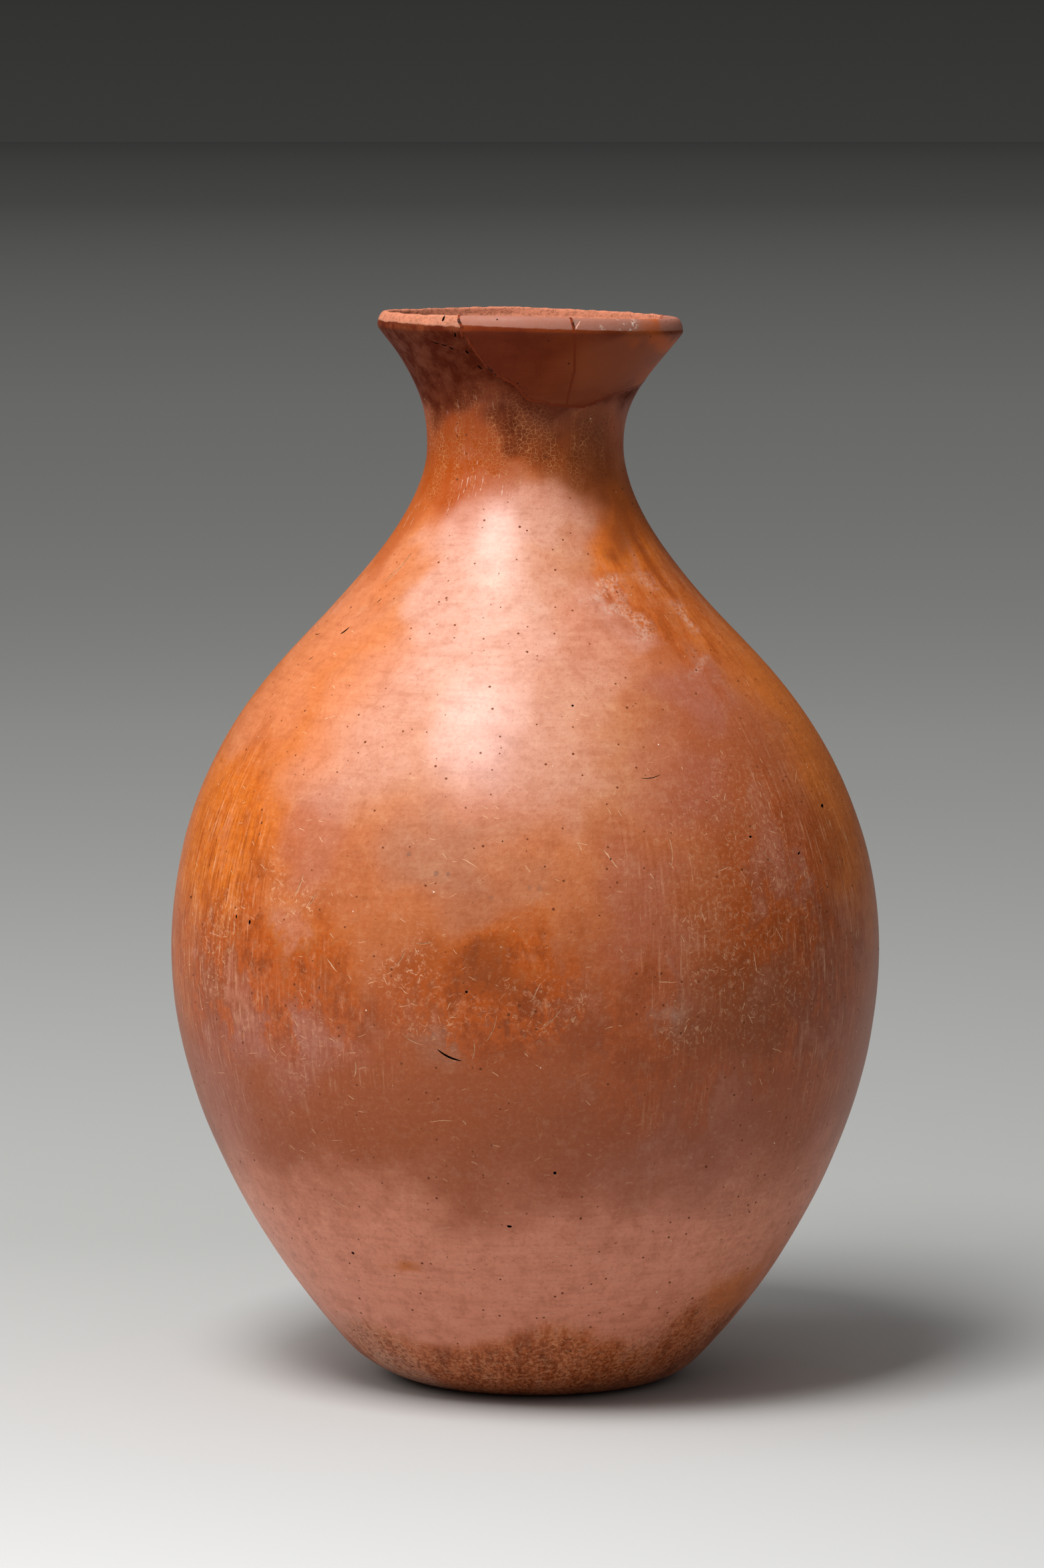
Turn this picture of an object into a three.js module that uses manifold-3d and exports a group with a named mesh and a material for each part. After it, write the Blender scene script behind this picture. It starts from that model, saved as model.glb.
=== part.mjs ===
// A hand-built red-slipped pottery flask whose flared rim was broken and mended.
// Millimetres, +Z up, the front is -Y. The origin lies under the belly's centre, on the standing surface.
import * as THREE from "three";
import { mergeVertices } from "three/addons/utils/BufferGeometryUtils.js";
import Module from "manifold-3d";

// Outside of the clay wall: the radius at each station, and how far the station stands above the one before.
const footRadius = 28;
const heelRadius = 44.4;
const heelRise = 8.3;
const bellyRadius = 86.3;
const bellyRise = 96.1;
const shoulderRadius = 46.8;
const shoulderRise = 83.6;
const waistRadius = 23.8;
const waistRise = 39.6;
const lipRadius = 37;
const flareRise = 28.5;
// The lip is a narrow band above the flare's edge. It stands out a trace past the edge and leans in.
const lipBand = 3.9;
const lipSwell = 0.2;
const lipLean = 1.8;

const flareRadius = lipRadius - lipSwell;
const bellyHeight = heelRise + bellyRise;
const shoulderHeight = bellyHeight + shoulderRise;
const waistHeight = shoulderHeight + waistRise;
const flareHeight = waistHeight + flareRise;
const flaskHeight = flareHeight + lipBand;

// Slope of the wall in degrees above the horizontal, where it isn't upright.
const heelSlope = 47.4;
const shoulderSlope = 47.6;
const flareSlope = 54;

// How far each curve holds its direction as it leaves a station, below it and above it.
const footReach = 7.5;
const heelReachBelow = 4.3;
const heelReachAbove = 34;
const bellyReachBelow = 33.7;
const bellyReachAbove = 46.9;
const shoulderReachBelow = 17.5;
const shoulderReachAbove = 13.8;
const waistReachBelow = 13.7;
const waistReachAbove = 12;
const flareReachBelow = 15;

// Thickness of the clay.
const floorThickness = 9;
const heelWall = 8;
const bellyWall = 6;
const shoulderWall = 6;
const waistWall = 5.2;
const lipWall = 3.4;

// How the hand-built pot strays from a true turned shape: its centre drifts sideways and its mouth tilts.
const footDrift = 2.4;
const heelDrift = 1.2;
const shoulderDrift = -0.8;
const mouthDrift = 1.3;
const mouthTilt = 2.2;

// The mend: the broken-out part of the rim, set back in two pieces with adhesive in the joints.
const adhesiveThickness = 0.4;
const clearance = 0.3;

// The break as it runs round the flare, seen on the outside: degrees round from the front (positive to
// the right), and height as a share of the way from the waist (0) to the top of the lip (1).
const breakLine = [
  [-30, 1.1],
  [-26, 0.92],
  [-23, 0.75],
  [-20, 0.64],
  [-12, 0.54],
  [-6, 0.5],
  [1, 0.39],
  [14, 0.35],
  [33, 0.33],
  [48, 0.41],
  [63, 0.45],
  [78, 0.48],
  [94, 0.53],
  [104, 0.66],
  [110, 0.83],
  [113, 1.1],
];
// The joint between the two mended pieces, in degrees round, at its foot and at the lip.
const splitAtFoot = 23;
const splitAtLip = 18;
const splitEnd = 130;

// How finely the round surfaces are faceted: round the pot, along the heel, the lip and the floor, and round
// the solid that parts the two mended pieces.
const segments = 60;
const heelSteps = 4;
const lipSteps = 3;
const floorSteps = 4;
const splitSteps = 6;

// The cutting solids reach this far outside and inside the wall, and above the lip.
const reachOut = 20;
const reachIn = 12;
const reachUp = 10;

// Points nearer than this are one point.
const weldDistance = 1e-4;

const wasm = await Module();
wasm.setup();

const radians = THREE.MathUtils.degToRad;
const smooth = THREE.MathUtils.smoothstep;

// A station of the outline: a point (radius, height) and the direction in which the wall climbs through it.
function station(radius, height, slope) {
  const point = new THREE.Vector2(radius, height);
  const along = new THREE.Vector2(Math.cos(radians(slope)), Math.sin(radians(slope)));
  return { point, along };
}

// A smooth curve from one station up to the next.
function wallCurve(from, reachAbove, to, reachBelow) {
  return new THREE.CubicBezierCurve(
    from.point,
    from.point.clone().addScaledVector(from.along, reachAbove),
    to.point.clone().addScaledVector(to.along, -reachBelow),
    to.point,
  );
}

const foot = station(footRadius, 0, 0);
const heel = station(heelRadius, heelRise, heelSlope);
const belly = station(bellyRadius, bellyHeight, 90);
const shoulder = station(shoulderRadius, shoulderHeight, 180 - shoulderSlope);
const waist = station(waistRadius, waistHeight, 90);
const flare = station(flareRadius, flareHeight, flareSlope);

const lowerWall = wallCurve(heel, heelReachAbove, belly, bellyReachBelow);
const upperWall = wallCurve(belly, bellyReachAbove, shoulder, shoulderReachBelow);
const neckWall = wallCurve(shoulder, shoulderReachAbove, waist, waistReachBelow);
const flareWall = wallCurve(waist, waistReachAbove, flare, flareReachBelow);

// Each climbing stretch of wall, with its thickness at both ends and the number of steps it is drawn in.
const stretches = [
  { curve: lowerWall, walls: [heelWall, bellyWall], steps: 11 },
  { curve: upperWall, walls: [bellyWall, shoulderWall], steps: 11 },
  { curve: neckWall, walls: [shoulderWall, waistWall], steps: 6 },
  { curve: flareWall, walls: [waistWall, lipWall], steps: 6 },
];

// The point of the inner surface that lies behind the outer one, square to the wall.
function behind(curve, share, walls) {
  const along = curve.getTangent(share);
  const inward = new THREE.Vector2(-along.y, along.x);
  const thickness = THREE.MathUtils.lerp(...walls, share);
  return curve.getPoint(share).addScaledVector(inward, thickness);
}

// The section of the wall, from the middle of the foot up the outside, over the lip and down the inside.
function wallSection() {
  const outside = [new THREE.Vector2(0, 0)];
  outside.push(...wallCurve(foot, footReach, heel, heelReachBelow).getPoints(heelSteps));
  for (const { curve, steps } of stretches) outside.push(...curve.getPoints(steps).slice(1));

  const inside = [];
  for (const { curve, walls, steps } of [...stretches].reverse()) {
    for (let i = steps; i > 0; i--) inside.push(behind(curve, i / steps, walls));
  }
  const innerHeel = behind(lowerWall, 0, stretches[0].walls);
  const floor = new THREE.CubicBezierCurve(
    innerHeel,
    innerHeel.clone().addScaledVector(heel.along, -heelWall),
    new THREE.Vector2(innerHeel.x / 2, floorThickness),
    new THREE.Vector2(0, floorThickness),
  );
  inside.push(...floor.getPoints(floorSteps));

  // The lip turns sharply off the flare, leans in and rolls over to the inside.
  const crown = new THREE.Vector2(lipRadius - lipLean, flaskHeight);
  const outerLip = new THREE.CubicBezierCurve(
    flare.point,
    new THREE.Vector2(lipRadius + lipSwell, flareHeight + lipBand / 6),
    new THREE.Vector2(lipRadius - lipSwell * 2, flaskHeight),
    crown,
  );
  const innerLip = new THREE.QuadraticBezierCurve(
    crown,
    new THREE.Vector2(inside[0].x + (crown.x - inside[0].x) / 4, flaskHeight),
    inside[0],
  );
  outside.push(...outerLip.getPoints(lipSteps).slice(1));
  outside.push(...innerLip.getPoints(lipSteps).slice(1, -1));
  return [...outside, ...inside];
}

// A three.js geometry as a solid that can be cut. Faces that collapse at the axis are dropped.
function solidFrom(geometry) {
  const bare = new THREE.BufferGeometry();
  bare.setAttribute("position", geometry.getAttribute("position"));
  bare.setIndex(geometry.index);
  const merged = mergeVertices(bare, weldDistance);
  const corners = merged.index.array;
  const kept = [];
  for (let i = 0; i < corners.length; i += 3) {
    const [a, b, c] = [corners[i], corners[i + 1], corners[i + 2]];
    if (a !== b && b !== c && c !== a) kept.push(a, b, c);
  }
  return new wasm.Manifold(
    new wasm.Mesh({
      numProp: 3,
      vertProperties: new Float32Array(merged.attributes.position.array),
      triVerts: new Uint32Array(kept),
    }),
  );
}

// The clay wall as one unbroken, true turned solid.
function turnedWall() {
  const geometry = new THREE.LatheGeometry(wallSection(), segments);
  geometry.rotateX(Math.PI / 2);
  return solidFrom(geometry);
}

// Outer radius and outward direction of the flare at a height between the waist and the lip.
function flareAt(height) {
  let [low, high] = [0, 1];
  while (high - low > weldDistance) {
    const middle = (low + high) / 2;
    if (flareWall.getPoint(middle).y < height) low = middle;
    else high = middle;
  }
  const point = flareWall.getPoint(low);
  const along = flareWall.getTangent(low);
  return { radius: point.x, outward: new THREE.Vector2(along.y, -along.x) };
}

// A point given as degrees round from the front, radius and height.
function around(degrees, radius, height) {
  const angle = radians(degrees);
  return [radius * Math.sin(angle), -radius * Math.cos(angle), height];
}

// A closed solid that stands on a line round the flare and takes in all of the wall above it. Its underside
// runs square through the wall, as a break does. Each point holds degrees at its foot and top, and a height.
function cutterAbove(line) {
  const top = flaskHeight + reachUp;
  const positions = [];
  for (const { footAngle, topAngle, height } of line) {
    const { radius, outward } = flareAt(height);
    const outer = [radius + outward.x * reachOut, height + outward.y * reachOut];
    const inner = [radius - outward.x * reachIn, height - outward.y * reachIn];
    positions.push(...around(footAngle, ...outer), ...around(footAngle, ...inner));
    positions.push(...around(topAngle, inner[0], top), ...around(topAngle, outer[0], top));
  }
  const faces = [0, 2, 1, 0, 3, 2];
  for (let i = 0; i + 1 < line.length; i++) {
    for (let side = 0; side < 4; side++) {
      const [a, b] = [4 * i + side, 4 * i + ((side + 1) % 4)];
      faces.push(a, b, a + 4, b, b + 4, a + 4);
    }
  }
  const last = 4 * (line.length - 1);
  faces.push(last, last + 1, last + 2, last, last + 2, last + 3);
  const geometry = new THREE.BufferGeometry();
  geometry.setAttribute("position", new THREE.Float32BufferAttribute(positions, 3));
  geometry.setIndex(faces);
  return solidFrom(geometry);
}

// Everything above the break line, let out square to the line by a distance in millimetres.
function aboveBreak(letOut) {
  const climb = flaskHeight - waistHeight;
  const heights = breakLine.map(([, share]) => waistHeight + share * climb);
  const line = breakLine.map(([degrees], i) => {
    const { radius } = flareAt(heights[i]);
    const before = Math.max(i - 1, 0);
    const after = Math.min(i + 1, breakLine.length - 1);
    const run = radians(breakLine[after][0] - breakLine[before][0]) * radius;
    const rise = heights[after] - heights[before];
    const length = Math.hypot(run, rise);
    const angle = degrees + THREE.MathUtils.radToDeg((letOut * rise) / length / radius);
    return { footAngle: angle, topAngle: angle, height: heights[i] - (letOut * run) / length };
  });
  return cutterAbove(line);
}

// Everything to the right of the joint between the two mended pieces, moved right by some millimetres.
function rightOfSplit(shift) {
  const height = waistHeight;
  const { radius } = flareAt((waistHeight + flareHeight) / 2);
  const turn = THREE.MathUtils.radToDeg(shift / radius);
  const line = [{ footAngle: splitAtFoot + turn, topAngle: splitAtLip + turn, height }];
  for (let i = 1; i <= splitSteps; i++) {
    const angle = THREE.MathUtils.lerp(splitAtFoot, splitEnd, i / splitSteps);
    line.push({ footAngle: angle, topAngle: angle, height });
  }
  return cutterAbove(line);
}

// Where the pot's own centre lies at a height, sideways from the origin.
function driftAt(height) {
  const stations = [
    [0, footDrift],
    [heelRise, heelDrift],
    [bellyHeight, 0],
    [shoulderHeight, shoulderDrift],
    [waistHeight, 0],
    [flaskHeight, mouthDrift],
  ];
  let drift = footDrift;
  for (let i = 0; i + 1 < stations.length; i++) {
    const [[low, from], [high, to]] = [stations[i], stations[i + 1]];
    drift += (to - from) * smooth(height, low, high);
  }
  return drift;
}

// Moves every point of a true turned shape to where the hand-built pot has it.
function handBuild(positions) {
  const slant = Math.tan(radians(mouthTilt));
  for (let i = 0; i < positions.length; i += 3) {
    const [x, height] = [positions[i], positions[i + 2]];
    positions[i] = x + driftAt(height);
    positions[i + 2] = height - x * slant * smooth(height, waistHeight, flaskHeight);
  }
  return positions;
}

// A cut solid as a named mesh of the scene, in the pot's hand-built shape.
function pieceFrom(solid, name, material) {
  const { vertProperties, triVerts, numProp, numVert } = solid.getMesh();
  const positions = new Float32Array(numVert * 3);
  for (let i = 0; i < numVert; i++) {
    positions.set(vertProperties.subarray(i * numProp, i * numProp + 3), i * 3);
  }
  const geometry = new THREE.BufferGeometry();
  geometry.setAttribute("position", new THREE.BufferAttribute(handBuild(positions), 3));
  geometry.setIndex(new THREE.BufferAttribute(triVerts, 1));
  geometry.computeVertexNormals();
  const mesh = new THREE.Mesh(geometry, material);
  mesh.name = name;
  return mesh;
}

// Burnished red slip over fired silt clay.
const slippedClay = new THREE.MeshStandardMaterial({ color: 0xb9623c, roughness: 0.42, metalness: 0 });
// The smoother, mauve-brown clay of the mended rim.
const mendedRim = new THREE.MeshStandardMaterial({ color: 0xa8614b, roughness: 0.55, metalness: 0 });
// Dark adhesive in the joints.
const adhesive = new THREE.MeshStandardMaterial({ color: 0x5b2a1c, roughness: 0.6, metalness: 0 });

const seamOut = clearance;
const seamEnd = seamOut + adhesiveThickness;
const jointEnd = seamEnd + clearance;
const splitSeam = adhesiveThickness / 2;
const splitFace = splitSeam + clearance;

const wall = turnedWall();
const body = wall.subtract(aboveBreak(jointEnd));
const mended = wall.intersect(aboveBreak(0));
const leftPiece = mended.subtract(rightOfSplit(-splitFace));
const rightPiece = mended.intersect(rightOfSplit(splitFace));
const roundBreak = wall.intersect(aboveBreak(seamEnd)).subtract(aboveBreak(seamOut));
const betweenPieces = mended.intersect(rightOfSplit(-splitSeam)).subtract(rightOfSplit(splitSeam));

const flask = new THREE.Group();
flask.add(
  pieceFrom(body, "flask_body", slippedClay),
  pieceFrom(leftPiece, "rim_piece_left", mendedRim),
  pieceFrom(rightPiece, "rim_piece_right", mendedRim),
  pieceFrom(roundBreak, "mend_line_round_break", adhesive),
  pieceFrom(betweenPieces, "mend_line_between_pieces", adhesive),
);

export default flask;
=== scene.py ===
# A burnished red pottery flask with a mended rim, standing on a pale floor.
import math
import random

import bmesh
import bpy
import numpy
from mathutils import Matrix, Vector, noise
from mathutils.geometry import interpolate_bezier


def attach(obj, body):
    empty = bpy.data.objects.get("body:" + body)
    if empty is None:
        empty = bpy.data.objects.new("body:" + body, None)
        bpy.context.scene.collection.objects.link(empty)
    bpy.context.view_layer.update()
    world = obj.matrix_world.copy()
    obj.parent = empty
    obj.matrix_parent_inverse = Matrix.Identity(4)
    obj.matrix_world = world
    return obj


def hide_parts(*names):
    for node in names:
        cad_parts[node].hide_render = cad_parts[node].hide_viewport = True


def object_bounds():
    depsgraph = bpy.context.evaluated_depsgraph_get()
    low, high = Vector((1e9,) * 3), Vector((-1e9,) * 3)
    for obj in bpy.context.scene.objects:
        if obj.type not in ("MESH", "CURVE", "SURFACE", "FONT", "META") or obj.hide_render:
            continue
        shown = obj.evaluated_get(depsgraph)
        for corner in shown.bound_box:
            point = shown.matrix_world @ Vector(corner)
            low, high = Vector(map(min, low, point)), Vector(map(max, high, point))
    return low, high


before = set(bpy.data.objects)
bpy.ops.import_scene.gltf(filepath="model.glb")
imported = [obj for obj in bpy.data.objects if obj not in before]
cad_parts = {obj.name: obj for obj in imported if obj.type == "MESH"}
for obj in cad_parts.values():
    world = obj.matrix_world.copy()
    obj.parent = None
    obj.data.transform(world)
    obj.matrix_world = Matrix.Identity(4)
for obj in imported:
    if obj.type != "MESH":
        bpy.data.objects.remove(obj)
cadLow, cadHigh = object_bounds()

# the outline of the wall: radius and height in millimetres of the real flask, and its slope in degrees
outline = {
    "foot": (28, 0, 0),
    "heel": (44.4, 8.3, 47.4),
    "belly": (86.3, 104.4, 90),
    "shoulder": (46.8, 188, 132.4),
    "waist": (23.8, 227.6, 90),
    "flareEdge": (36.8, 256.1, 54),
    "crown": (35.2, 260, 180),
}
# one millimetre of the flask, measured on the frame
mm = (cadHigh.x - cadLow.x) / 2 / outline["belly"][0]

# each stretch of wall: its two stations, the reach of its curve's handles, the clay's thickness at each and
# the number of rings it is spun in
stretches = [
    {"ends": ("heel", "belly"), "reach": (34, 33.7), "wall": (8, 6), "rings": 80},
    {"ends": ("belly", "shoulder"), "reach": (46.9, 17.5), "wall": (6, 6), "rings": 72},
    {"ends": ("shoulder", "waist"), "reach": (13.8, 13.7), "wall": (6, 5.2), "rings": 44},
    {"ends": ("waist", "flareEdge"), "reach": (12, 15), "wall": (5.2, 3.4), "rings": 44},
]

pot = {
    "turns": 240,          # faces round the pot
    "insideEvery": 5,      # the inside keeps every fifth ring
    "heelReach": (7.5, 4.3),
    "heelRings": 8,
    "floorThickness": 9,
    "floorRings": 8,
    "lipRings": 12,
    "lipSwell": 0.4,       # the lip's outer edge turns this far past the flare
    "driftAt": [(0, 2.4), (8.3, 1.2), (104.4, 0), (188, -0.8), (227.6, 0), (260, 1.3)],
    "mouthTilt": 2.2,      # degrees, down to the right
    "lipSag": 1.1,         # how far the left of the lip hangs below that tilt
    "sagRise": (248, 257),   # the sag comes in between these heights
    "sagAcross": (0, 34),    # and these distances to the left
    "unevenness": 0.16,    # how far the hand-smoothed wall swells and dips
    "unevennessSize": 26,
    "finerSwell": (2.3, 0.5),  # on top of it a swell this many times finer, at this share
    "flatFoot": (3, 14),   # the unevenness comes in between these heights
    "lipRoughness": 0.22,  # the worn lip
    "lipGrain": 2.2,
    "finerGrain": (2.7, 0.6),
    "wornFrom": (255.8, 257.2),
    "slipInside": 238,     # the slip runs over the lip and down the mouth to this height
    "inward": 0.2,         # a face inside looks at least this much towards the axis
    "upward": 0.7,         # or this much upward, on the floor
    "floorBelow": 40,
    "crease": 32,          # edges sharper than this many degrees stay sharp
    "weld": 0.001,         # points nearer than this are one, in a spun solid
    "weldCut": 0.002,      # and in a cut one
}
mouthSlope = math.tan(math.radians(pot["mouthTilt"]))


def station(name):
    radius, height, slope = outline[name]
    angle = math.radians(slope)
    return Vector((radius, 0, height)) * mm, Vector((math.cos(angle), 0, math.sin(angle)))


def wallCurve(ends, reach, rings):
    low, lowLine = station(ends[0])
    high, highLine = station(ends[1])
    lowHandle = low + lowLine * reach[0] * mm
    highHandle = high - highLine * reach[1] * mm
    return interpolate_bezier(low, lowHandle, highHandle, high, rings + 1)


# the inside of one stretch: every few rings, square to the outside by the clay's thickness
def insideOf(points, wall):
    inside = []
    last = len(points) - 1
    for i in range(0, last, pot["insideEvery"]):
        along = (points[i + 1] - points[max(i - 1, 0)]).normalized()
        thickness = (wall[0] + (wall[1] - wall[0]) * i / last) * mm
        inside.append(points[i] + Vector((-along.z, 0, along.x)) * thickness)
    return inside


# the section of the wall from the foot up the outside, over the lip and down the inside to the floor, and its
# outside alone, up to the edge of the flare
def wallSection():
    outside = [Vector((0, 0, 0))]
    outside += wallCurve(("foot", "heel"), pot["heelReach"], pot["heelRings"])
    inside = []
    for stretch in stretches:
        points = wallCurve(stretch["ends"], stretch["reach"], stretch["rings"])
        outside += points[1:]
        inside += insideOf(points, stretch["wall"])
    edge, edgeLine = station("flareEdge")
    innerEdge = edge + Vector((-edgeLine.z, 0, edgeLine.x)) * stretches[-1]["wall"][1] * mm
    inside.append(innerEdge)
    inside.reverse()

    crown, _ = station("crown")
    swell = Vector((pot["lipSwell"] * mm, 0, (crown.z - edge.z) / 6))
    shoulderOfLip = Vector((edge.x - pot["lipSwell"] / 2 * mm, 0, crown.z))
    outerLip = interpolate_bezier(edge, edge + swell, shoulderOfLip, crown, pot["lipRings"])
    innerTop = Vector((innerEdge.x + (crown.x - innerEdge.x) / 4, 0, crown.z))
    innerLip = interpolate_bezier(crown, innerTop, innerTop, innerEdge, pot["lipRings"])

    innerHeel = inside[-1]
    _, heelLine = station("heel")
    floorHeight = pot["floorThickness"] * mm
    underHeel = innerHeel - heelLine * stretches[0]["wall"][0] * mm
    halfway = Vector((innerHeel.x / 2, 0, floorHeight))
    floor = interpolate_bezier(innerHeel, underHeel, halfway, Vector((0, 0, floorHeight)), pot["floorRings"])
    return outside + outerLip[1:] + innerLip[1:-1] + inside + floor[1:], outside


section, outsidePoints = wallSection()


def outerRadius(height):
    for lower, upper in zip(outsidePoints, outsidePoints[1:]):
        if lower.z <= height <= upper.z and upper.z > lower.z:
            share = (height - lower.z) / (upper.z - lower.z)
            return lower.x + (upper.x - lower.x) * share
    return station("flareEdge")[0].x


# a place on the outside of the flask: degrees round from the front, to the right, and height in millimetres
def onFlask(degrees, height):
    angle = math.radians(degrees)
    radius = outerRadius(height * mm)
    return Vector((radius * math.sin(angle), -radius * math.cos(angle), height * mm))


def smoothStep(value, low, high):
    share = min(max((value - low) / (high - low), 0), 1)
    return share * share * (3 - 2 * share)


# moves a point of the true turned shape to where the hand-built pot has it
def handBuilt(point):
    height = point.z / mm
    drift = pot["driftAt"][0][1]
    for (low, before), (high, after) in zip(pot["driftAt"], pot["driftAt"][1:]):
        drift += (after - before) * smoothStep(height, low, high)
    tilt = mouthSlope * smoothStep(height, outline["waist"][1], outline["crown"][1])
    sag = pot["lipSag"] * mm * smoothStep(height, *pot["sagRise"])
    sag *= smoothStep(-point.x / mm, *pot["sagAcross"])
    return Vector((point.x + drift * mm, point.y, point.z - point.x * tilt - sag))


# smooth noise, and on top of it one so many times finer, at a share of its strength
def twoNoises(point, finer, share):
    return noise.noise(point) + share * noise.noise(point * finer)


# how far a point of the outside stands out of or sinks into the smooth shape
def unevenness(point):
    swell = twoNoises(point / (pot["unevennessSize"] * mm), *pot["finerSwell"])
    return swell * pot["unevenness"] * mm * smoothStep(point.z / mm, *pot["flatFoot"])


def meshObject(name, bm, material):
    mesh = bpy.data.meshes.new(name)
    bm.to_mesh(mesh)
    bm.free()
    piece = bpy.data.objects.new(name, mesh)
    bpy.context.scene.collection.objects.link(piece)
    mesh.materials.append(material)
    return piece


# turns a section standing in the XZ plane once round the Z axis
def spunSolid(name, points, closed, material):
    bm = bmesh.new()
    verts = [bm.verts.new(point) for point in points]
    pairs = list(zip(verts, verts[1:]))
    if closed:
        pairs.append((verts[-1], verts[0]))
    edges = [bm.edges.new(pair) for pair in pairs]
    bmesh.ops.spin(
        bm, geom=verts + edges, cent=(0, 0, 0), axis=(0, 0, 1), angle=math.tau,
        steps=pot["turns"], use_merge=True,
    )
    bmesh.ops.remove_doubles(bm, verts=bm.verts, dist=pot["weld"] * mm)
    bmesh.ops.recalc_face_normals(bm, faces=bm.faces)
    return meshObject(name, bm, material)


# the break round the flare: degrees round from the front, and height on the outside
breakLine = [
    (-30, 263.2), (-26, 257.4), (-23, 251.9), (-20, 248.3), (-12, 245.1), (-6, 243.8), (1, 240.2),
    (14, 238.9), (33, 238.3), (48, 240.9), (63, 242.2), (78, 243.2), (94, 244.8), (104, 249), (110, 254.5),
    (113, 263.2),
]
mend = {
    "splitFoot": 23,       # degrees round, where the joint between the two pieces meets the break
    "splitLip": 12,        # and where it would reach the height of the cutter's top
    "splitEnd": 130,
    "splitSteps": 8,
    "splitRadius": 30,     # of the flare about halfway up that joint
    "splitHalf": 0.22,     # half the joint's width
    "jag": 0.35,           # how far the broken edge strays from its line
    "jagSteps": 6,
    "jagFineness": 0.9,
    "bodyEdge": 0.5,       # the body's edge stands this far back from the line
    "lineProud": 0.04,     # the adhesive stands this far out of the wall
    "lineOverlap": 0.06,
    "cutterOut": 20,
    "cutterIn": 12,
    "cutterTop": 270,
    "cutterUnder": 2,      # the joint's cutter starts this far below the ring of wall it cuts
    "ringFoot": 232,
    "beadHeight": 0.6,     # dried drops along the left of the line
    "beadSize": 1.3,
    "beadDip": -0.1,
    "beadsEnd": (-9, -5),
}


# the break line with the small jags of a real edge, let out square to itself by a distance in millimetres
def jaggedBreak(letOut):
    stops = []
    for start, end in zip(breakLine, breakLine[1:]):
        for step in range(mend["jagSteps"]):
            share = step / mend["jagSteps"]
            stops.append((start[0] + (end[0] - start[0]) * share, start[1] + (end[1] - start[1]) * share))
    stops.append(breakLine[-1])
    line = []
    for i, (angle, height) in enumerate(stops):
        before = stops[max(i - 1, 0)]
        after = stops[min(i + 1, len(stops) - 1)]
        radius = outerRadius(height * mm) / mm
        run = math.radians(after[0] - before[0]) * radius
        rise = after[1] - before[1]
        length = math.hypot(run, rise)
        jag = noise.noise(Vector((angle, height, 0)) * mend["jagFineness"]) * mend["jag"] + letOut
        line.append((angle + math.degrees(jag * rise / length / radius), height - jag * run / length))
    return line


# four corners of the cutting solid over one point of its line: outside and inside the wall, then above them
def cutterCorners(footAngle, topAngle, height):
    radius = outerRadius(height * mm) / mm
    below = outerRadius((height - 1) * mm) / mm
    outward = Vector((1, below - radius)).normalized()
    outer = (radius + outward.x * mend["cutterOut"], height + outward.y * mend["cutterOut"])
    inner = (radius - outward.x * mend["cutterIn"], height - outward.y * mend["cutterIn"])
    corners = []
    for angle, reach, z in (
        (footAngle, outer[0], outer[1]),
        (footAngle, inner[0], inner[1]),
        (topAngle, inner[0], mend["cutterTop"]),
        (topAngle, outer[0], mend["cutterTop"]),
    ):
        turn = math.radians(angle)
        corners.append(Vector((reach * math.sin(turn), -reach * math.cos(turn), z)) * mm)
    return corners


# a solid over the wall above a line of foot angle, top angle and height: one face, extruded stop by stop
def cutterAbove(name, line, material):
    bm = bmesh.new()
    end = bm.faces.new([bm.verts.new(corner) for corner in cutterCorners(*line[0])])
    for stop in line[1:]:
        grown = bmesh.ops.extrude_face_region(bm, geom=[end, *end.edges, *end.verts])
        end = next(item for item in grown["geom"] if isinstance(item, bmesh.types.BMFace))
        for vert, corner in zip(end.verts, cutterCorners(*stop)):
            vert.co = corner
    bmesh.ops.recalc_face_normals(bm, faces=bm.faces)
    return meshObject(name, bm, material)


def aboveBreak(letOut, material):
    line = [(angle, angle, height) for angle, height in jaggedBreak(letOut)]
    return cutterAbove("breakCutter", line, material)


# everything to the right of the joint between the two mended pieces, moved right by millimetres
def rightOfSplit(shift, material):
    height = mend["ringFoot"] - mend["cutterUnder"]
    turn = math.degrees(shift / mend["splitRadius"])
    line = [(mend["splitFoot"] + turn, mend["splitLip"] + turn, height)]
    for step in range(1, mend["splitSteps"] + 1):
        angle = mend["splitFoot"] + (mend["splitEnd"] - mend["splitFoot"]) * step / mend["splitSteps"]
        line.append((angle, angle, height))
    return cutterAbove("splitCutter", line, material)


# cuts one piece with another, for good. The cut faces take the cutter's material.
def carve(piece, cutter, operation):
    modifier = piece.modifiers.new("carve", "BOOLEAN")
    modifier.operation = operation
    modifier.object = cutter
    modifier.solver = "EXACT"
    modifier.material_mode = "TRANSFER"
    seen = piece.evaluated_get(bpy.context.evaluated_depsgraph_get())
    mesh = bpy.data.meshes.new_from_object(seen)
    piece.modifiers.remove(modifier)
    piece.data = mesh
    bpy.data.objects.remove(cutter)


def paint(hexColour):
    channels = [int(hexColour[i:i + 2], 16) / 255 for i in (1, 3, 5)]
    linear = [c / 12.92 if c <= 0.04045 else ((c + 0.055) / 1.055) ** 2.4 for c in channels]
    return (*linear, 1)


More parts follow.
